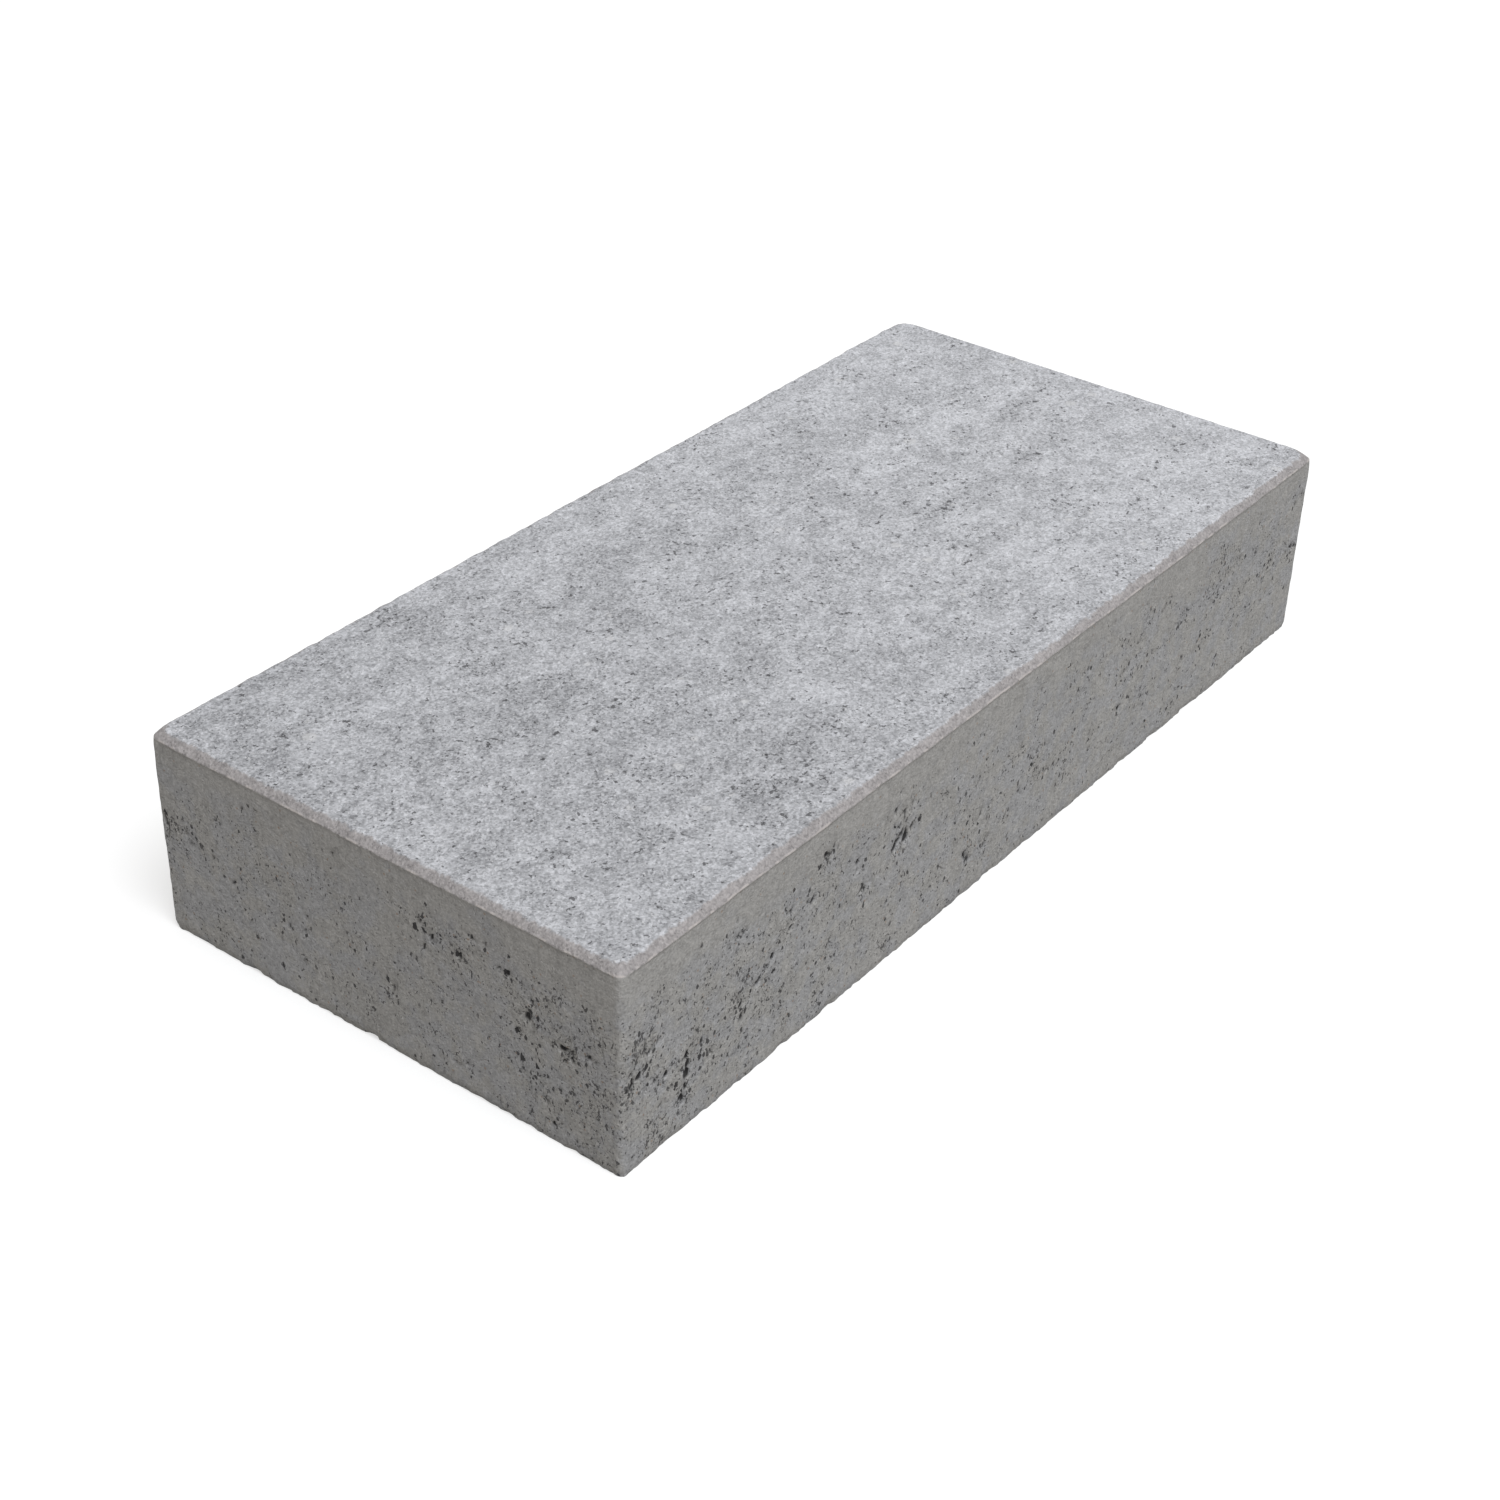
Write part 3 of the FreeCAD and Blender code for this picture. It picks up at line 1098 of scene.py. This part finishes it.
def pit_group(clouds: bpy.types.NodeTree) -> bpy.types.NodeTree:
    """Pits: small holes that stand apart. A Voronoi cell holds one if its luck is under Share."""
    group = NodeGroup("Pits", {"Vector": None, "Pitch mm": 4.5, "Share": 0.1}, ("Pit",))
    scale = group.sums("DIVIDE", 1000.0, group.given["Pitch mm"])
    cells = group.add("ShaderNodeTexVoronoi", {"Vector": group.given["Vector"], "Scale": scale}, feature="F1")
    luck = group.add("ShaderNodeSeparateColor", {0: cells.outputs["Color"]}).outputs
    ragged = group.place(
        clouds, {"Vector": group.given["Vector"], "Pitch mm": 2.1, "Layers": 3.0}
    ).outputs["Tone"]
    away = group.sums("ADD", cells.outputs["Distance"], group.sums("MULTIPLY", ragged, 0.50))
    own = group.ramp(luck[1], 0.0, 1.0, 0.34, 0.70)
    within = group.ramp(group.sums("SUBTRACT", own, away), 0.0, 0.08)
    chosen = group.ramp(group.sums("SUBTRACT", group.given["Share"], luck[0]), 0.0, 0.03)
    group.give("Pit", group.sums("MULTIPLY", within, chosen))
    return group.tree


@dataclass(frozen=True)
class PressedConcrete:
    """The finish of the block: pale tread with lime bloom, warm bevel, darker sides that are rougher low down.

    Colours are linear. Each face's colour is multiplied by a shade near 1 that its grain and clouds make. The
    tread is also painted paler towards its right end, a painted pool of light.
    """

    tread: Colour = (0.470, 0.476, 0.500, 1.0)
    bevel: Colour = (0.345, 0.326, 0.326, 1.0)
    side_warm: Colour = (0.372, 0.366, 0.356, 1.0)
    side_cool: Colour = (0.364, 0.365, 0.372, 1.0)
    # painted highlight: the pale line of light caught along the bevel's foot
    burr_highlight: Colour = (0.560, 0.520, 0.500, 1.0)
    # painted shade: the near black that voids, dents and pits are painted, for the shade inside them
    void: Colour = (0.026, 0.025, 0.026, 1.0)
    quartz: Colour = (0.66, 0.66, 0.67, 1.0)
    thick_bloom: Colour = (0.545, 0.553, 0.580, 1.0)
    rust: Colour = (0.30, 0.21, 0.15, 1.0)
    roughness: float = 0.9
    loose_corner: tuple[float, float, float] = (-0.36, -0.455, 0.0)

    def build(self) -> bpy.types.Material:
        """Makes the material.

        Returns:
            A Principled material whose colour and bump come from the block's own places.
        """
        material = bpy.data.materials.new(SLOT)
        material.use_nodes = True
        sheet = NodeSheet(material.node_tree)
        sheet.tree.nodes.clear()
        clouds = cloud_group()
        grains, dents = grain_group(), dent_group(clouds)
        pebbles, pits = pebble_group(clouds), pit_group(clouds)

        at = sheet.add("ShaderNodeTexCoord").outputs["Object"]
        along = sheet.add("ShaderNodeMapping", {"Vector": at, "Scale": (0.78, 1.0, 1.0)}).outputs[0]
        tall = sheet.add("ShaderNodeMapping", {"Vector": at, "Scale": (1.0, 1.0, 0.74)}).outputs[0]
        dragged = sheet.add("ShaderNodeMapping", {"Vector": at, "Scale": (1.0, 1.0, 0.12)}).outputs[0]

        def cloud(vector: bpy.types.NodeSocket, pitch: float, layers: float) -> bpy.types.NodeSocket:
            """A cloudy tone of that pitch in millimetres."""
            return sheet.place(
                clouds, {"Vector": vector, "Pitch mm": pitch, "Layers": layers}
            ).outputs["Tone"]

        run = sheet.attribute("profile_run")
        near = sheet.attribute("void_nearness")
        sunk = sheet.attribute("void_depth")

        # Where each face gives way to the next. The tread's colour reaches unevenly down over the bevel's
        # upper part.
        swing = sheet.sums("ADD", sheet.sums("MULTIPLY", cloud(at, 7.0, 3.0), 3.4 * MM),
                           sheet.sums("MULTIPLY", cloud(at, 2.0, 2.0), 1.6 * MM))
        swung = sheet.sums("ADD", run, sheet.sums("SUBTRACT", swing, 2.5 * MM))
        on_tread = sheet.ramp(swung, 4.9 * MM, 7.2 * MM)
        on_side = sheet.ramp(run, 0.25 * MM, -0.25 * MM)
        drop = sheet.sums("MULTIPLY", run, -1.0)

        # Clouds and grain shared by the faces. The fine and mid clouds and the grain's tone also raise the
        # bump below, so the faces are darker where the bump is low: partly the grain's own tone, partly
        # painted shade in the hollows.
        fine, mid = cloud(at, 1.6, 2.0), cloud(at, 5.0, 4.0)
        blotch, broad = cloud(along, 15.0, 5.0), cloud(along, 62.0, 3.0)
        bloom = sheet.attribute("bloom")
        patchy = sheet.ramp(sheet.sums("ADD", blotch, sheet.sums("MULTIPLY", bloom, 0.17)), 0.38, 0.62)
        grain = sheet.place(grains, {"Vector": at, "Grain mm": 1.25}).outputs
        coarse = sheet.place(grains, {"Vector": at, "Grain mm": 2.1}).outputs

        sideways = sheet.add("ShaderNodeSeparateXYZ", {0: at}).outputs["X"]
        # Painted light: the tread is painted paler towards its right end, a pool of light laid into its tone.
        lit_towards_right = sheet.ramp(sideways, -0.3, 0.3)
        tread_shade = sheet.shade((fine, 0.26), (grain["Tone"], 0.50), (coarse["Tone"], 0.26), (mid, 0.30),
                                  (patchy, 0.16), (broad, 0.12), (lit_towards_right, 0.16))
        tread_shade = sheet.sums("ADD", tread_shade, sheet.sums("MULTIPLY", bloom, 0.09))
        tread = sheet.blend(1.0, self.tread, tread_shade, "MULTIPLY")
        tread = sheet.blend(sheet.ramp(bloom, 0.4, 1.3, 0.0, 0.5), tread, self.thick_bloom)
        specks = sheet.sums("MAXIMUM", sheet.sums("MULTIPLY", coarse["Pale"], 0.6), grain["Pale"])
        tread = sheet.blend(sheet.sums("MULTIPLY", specks, 0.8), tread, self.quartz)

        pebble = sheet.place(pebbles, {"Vector": at, "Pitch mm": 26.0, "Radius mm": 4.2}).outputs["Pebble"]
        tread = sheet.blend(sheet.sums("MULTIPLY", pebble, 0.55), tread, self.quartz)

        patch = cloud(at, 34.0, 3.0)
        level = sheet.sums("ADD", drop, sheet.sums("MULTIPLY", patch, 44 * MM))
        rough = sheet.ramp(level, 24 * MM, 56 * MM)
        cool = sheet.sums("MULTIPLY", rough, sheet.ramp(cloud(at, 19.0, 4.0), 0.36, 0.68))
        side = sheet.blend(cool, self.side_warm, self.side_cool)
        side_shade = sheet.shade((fine, 0.30), (grain["Tone"], 0.23), (coarse["Tone"], 0.10), (mid, 0.28),
                                 (blotch, 0.15), (cloud(dragged, 3.2, 3.0), 0.10))
        side = sheet.blend(1.0, side, side_shade, "MULTIPLY")
        side = sheet.blend(sheet.sums("MULTIPLY", grain["Pale"], 0.4), side, self.quartz)
        side = sheet.blend(sheet.sums("MULTIPLY", coarse["Rusty"], 0.6), side, self.rust)

        bevel_shade = sheet.shade((fine, 0.42), (grain["Tone"], 0.34), (mid, 0.34), (blotch, 0.12))
        bevel = sheet.blend(1.0, self.bevel, bevel_shade, "MULTIPLY")
        # Painted highlight: a thin broken pale line along the bevel's foot, where the burr there catches the
        # light.
        broken = sheet.ramp(cloud(at, 9.0, 3.0), 0.42, 0.72)
        highlight_band = sheet.sums(
            "MULTIPLY", sheet.ramp(run, -0.35 * MM, 0.05 * MM), sheet.ramp(run, 1.2 * MM, 0.4 * MM)
        )
        colour = sheet.blend(on_side, bevel, side)
        colour = sheet.blend(
            sheet.sums("MULTIPLY", sheet.sums("MULTIPLY", highlight_band, broken), 0.75), colour, self.burr_highlight
        )
        colour = sheet.blend(on_tread, colour, tread)

        # Dents: a few everywhere, crowded round the nests of voids and low on the sides.
        def dent(
            vector: bpy.types.NodeSocket, pitch: float, share: object, edge: float, depth: float
        ) -> object:
            """Dents of that pitch in millimetres, scaled by depth, which sets their painted shade and bump."""
            node = sheet.place(dents, {"Vector": vector, "Pitch mm": pitch, "Share": share, "Edge": edge})
            return sheet.sums("MULTIPLY", node.outputs["Dent"], depth)

        crowd = cloud(along, 24.0, 4.0)
        tread_share = sheet.sums(
            "ADD", sheet.sums("MULTIPLY", near, 0.12), sheet.ramp(crowd, 0.34, 0.86, 0.13, 0.28)
        )
        tread_dents = sheet.sums("MAXIMUM", dent(at, 3.7, tread_share, 0.07, 0.70),
                                 dent(at, 1.9, sheet.sums("ADD", tread_share, -0.03), 0.08, 0.38))
        # The mix is loosest low down by the front left corner.
        flat = sheet.add("ShaderNodeMapping", {"Vector": at, "Scale": (1.0, 2.6, 0.0)}).outputs[0]
        away = sheet.add("ShaderNodeVectorMath", {0: flat, 1: self.loose_corner}, operation="DISTANCE")
        loose = sheet.ramp(away.outputs["Value"], 0.30, 0.03)
        crowded = sheet.ramp(cloud(at, 24.0, 4.0), 0.36, 0.90, 0.16, 0.33)
        crowded = sheet.sums(
            "MULTIPLY", sheet.sums("ADD", crowded, sheet.sums("MULTIPLY", loose, 0.07)), rough
        )
        side_share = sheet.sums("ADD", sheet.sums("MULTIPLY", near, 0.07), crowded)
        side_dents = sheet.sums(
            "MAXIMUM", dent(tall, 2.5, sheet.sums("SUBTRACT", side_share, 0.03), 0.07, 0.80),
            dent(at, 1.5, side_share, 0.10, 0.56)
        )
        pit_share = sheet.sums(
            "ADD", sheet.sums("MULTIPLY", near, 0.45), sheet.sums("MULTIPLY", crowded, 0.04)
        )
        big_pits = sheet.place(pits, {"Vector": tall, "Pitch mm": 5.0, "Share": pit_share}).outputs["Pit"]
        fine_share = sheet.sums("ADD", pit_share, sheet.sums("MULTIPLY", crowded, 0.19))
        fine_pits = sheet.place(pits, {"Vector": tall, "Pitch mm": 3.0, "Share": fine_share}).outputs["Pit"]
        side_pits = sheet.sums(
            "MAXIMUM", sheet.sums("MULTIPLY", big_pits, 0.97), sheet.sums("MULTIPLY", fine_pits, 0.86)
        )
        side_dents = sheet.sums("MAXIMUM", side_dents, side_pits)
        scratched = dent(dragged, 2.2, sheet.sums("SUBTRACT", side_share, 0.04), 0.2, 0.24)
        side_dents = sheet.sums("MAXIMUM", side_dents, scratched)
        holes = sheet.add("ShaderNodeMix", {0: on_tread, 2: side_dents, 3: tread_dents},
                          data_type="FLOAT").outputs[0]
        # Painted shade: voids, dents and pits are painted nearly black, the shade inside the holes, deeper
        # voids more so.
        void_shade = sheet.ramp(sunk, 0.4 * MM, 1.6 * MM, 0.0, 0.96)
        hole_shade = sheet.sums("MAXIMUM", holes, void_shade)
        colour = sheet.blend(hole_shade, colour, self.void)

        lift = sheet.shade((fine, 0.7), (mid, 0.9), (grain["Tone"], 0.3))
        lift = sheet.sums("ADD", lift, sheet.sums("MULTIPLY", pebble, 1.3))
        height = sheet.sums("SUBTRACT", lift, sheet.sums("MULTIPLY", holes, 1.6))
        bump = sheet.add("ShaderNodeBump", {"Height": height, "Strength": 0.7, "Distance": 0.5 * MM})
        shader = sheet.add("ShaderNodeBsdfPrincipled", {
            "Base Color": colour, "Roughness": self.roughness, "Specular IOR Level": 0.3,
            "Normal": bump.outputs[0]})
        sheet.add("ShaderNodeOutputMaterial", {"Surface": shader.outputs[0]})
        return material


# ---------------------------------------------------------------- studio


@dataclass(frozen=True)
class Studio:
    """A pale floor, one soft lamp high on the front left, and an even sky."""

    sky: float = 0.36
    lamp_from: tuple[float, float, float] = (-0.11, -0.36, 0.65)
    lamp_softness: float = 35.0
    lamp_tint: tuple[float, float, float] = (0.975, 1.0, 1.03)
    sky_tint: Colour = (1.04, 1.0, 0.955, 1.0)
    floor_bounce: Colour = (0.374, 0.360, 0.342, 1.0)
    floor_lit: float = 0.50
    floor_glow: float = 0.58
    floor_reach: float = 8.0

    def build(self) -> None:
        """Makes the floor, the lamp and the sky."""
        self.make_floor()
        self.make_lamp()
        self.make_sky()

    def make_lamp(self) -> None:
        """A distant lamp whose strength, with the sky, shows a level face's colour as it is written."""
        direction = Vector(self.lamp_from)
        lamp = bpy.data.lights.new("soft_lamp", "SUN")
        lamp.energy = math.pi * direction.length
        lamp.angle = math.radians(self.lamp_softness)
        lamp.color = self.lamp_tint
        holder = bpy.data.objects.new("soft_lamp", lamp)
        holder.rotation_euler = (-direction).to_track_quat("-Z", "Y").to_euler()
        bpy.context.scene.collection.objects.link(holder)

    def make_sky(self) -> None:
        """An even sky that is plain white to the camera."""
        world = bpy.data.worlds.new("studio_sky")
        world.use_nodes = True
        sheet = NodeSheet(world.node_tree)
        sheet.tree.nodes.clear()
        seen = self.seen(sheet)
        strength = sheet.add("ShaderNodeMix", {0: seen, 2: self.sky, 3: 1.0}, data_type="FLOAT")
        tint = sheet.blend(seen, self.sky_tint, (1.0, 1.0, 1.0, 1.0))
        sky = sheet.add("ShaderNodeBackground", {"Color": tint, "Strength": strength.outputs[0]})
        sheet.add("ShaderNodeOutputWorld", {"Surface": sky.outputs[0]})
        bpy.context.scene.world = world

    @staticmethod
    def seen(sheet: NodeSheet) -> bpy.types.NodeSocket:
        """1 for rays that show the studio itself: camera, glossy and transmission rays."""
        path = sheet.add("ShaderNodeLightPath").outputs
        either = sheet.sums("MAXIMUM", path["Is Camera Ray"], path["Is Glossy Ray"])
        return sheet.sums("MAXIMUM", either, path["Is Transmission Ray"])

    def make_floor(self) -> None:
        """A level sheet that shows white with the block's shadow on it, and throws back less than it shows."""
        reach = self.floor_reach
        mesh = bpy.data.meshes.new("studio_floor")
        mesh.from_pydata([(-reach, -reach, 0), (reach, -reach, 0), (reach, reach, 0), (-reach, reach, 0)], [],
                         [(0, 1, 2, 3)])
        floor = bpy.data.objects.new("studio_floor", mesh)
        floor.location.z = -0.2 * MM
        bpy.context.scene.collection.objects.link(floor)
        material = bpy.data.materials.new("studio_floor")
        material.use_nodes = True
        sheet = NodeSheet(material.node_tree)
        sheet.tree.nodes.clear()
        lit = sheet.add("ShaderNodeBsdfDiffuse", {"Color": (*[self.floor_lit] * 3, 1.0)})
        glow = sheet.add("ShaderNodeEmission", {"Color": (1.0, 1.0, 1.0, 1.0), "Strength": self.floor_glow})
        shown = sheet.add("ShaderNodeAddShader", {0: lit.outputs[0], 1: glow.outputs[0]})
        bounce = sheet.add("ShaderNodeBsdfDiffuse", {"Color": self.floor_bounce})
        either = sheet.add(
            "ShaderNodeMixShader", {0: self.seen(sheet), 1: bounce.outputs[0], 2: shown.outputs[0]}
        )
        sheet.add("ShaderNodeOutputMaterial", {"Surface": either.outputs[0]})
        mesh.materials.append(material)


@dataclass(frozen=True)
class Viewpoint:
    """Where the camera stands: beyond the block's front left corner and above it."""

    stand: tuple[float, float, float] = (-1.1374, -0.8169, 0.9333)
    heading: float = 53.40
    downwards: float = 33.47
    roll: float = 1.69
    lens: float = 61.1
    film: float = 36.0

    def build(self) -> None:
        """Makes the camera. Heading is turned from +Y towards +X, in degrees."""
        camera = bpy.data.cameras.new("studio_camera")
        camera.lens = self.lens
        camera.sensor_width = self.film
        holder = bpy.data.objects.new("studio_camera", camera)
        heading, dip = math.radians(self.heading), math.radians(self.downwards)
        look = Vector((math.sin(heading) * math.cos(dip), math.cos(heading) * math.cos(dip), -math.sin(dip)))
        turn = look.to_track_quat("-Z", "Y").to_matrix() @ Matrix.Rotation(math.radians(self.roll), 3, "Z")
        holder.matrix_world = Matrix.Translation(self.stand) @ turn.to_4x4()
        bpy.context.scene.collection.objects.link(holder)
        bpy.context.scene.camera = holder


@dataclass
class BlockStep:
    """The block step itself: its skin dressed in pressed concrete, standing in for the plain solid."""

    finish: PressedConcrete = field(default_factory=PressedConcrete)

    def build(self) -> bpy.types.Object:
        """Makes the skin in the solid's own box and dresses it.

        Returns:
            The block's object.
        """
        low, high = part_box(NODE)
        skin = BlockSkin(Vector(low), Vector(high)).build()
        skin.data.materials.append(self.finish.build())
        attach(skin, BODY)
        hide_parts(NODE)
        return skin


def main() -> None:
    """Builds the block, the studio and the camera."""
    logging.basicConfig(level=logging.INFO, format="%(message)s")
    bpy.context.scene.view_settings.view_transform = "Standard"
    Viewpoint().build()
    Studio().build()
    BlockStep().build()


if __name__ == "__main__":
    main()
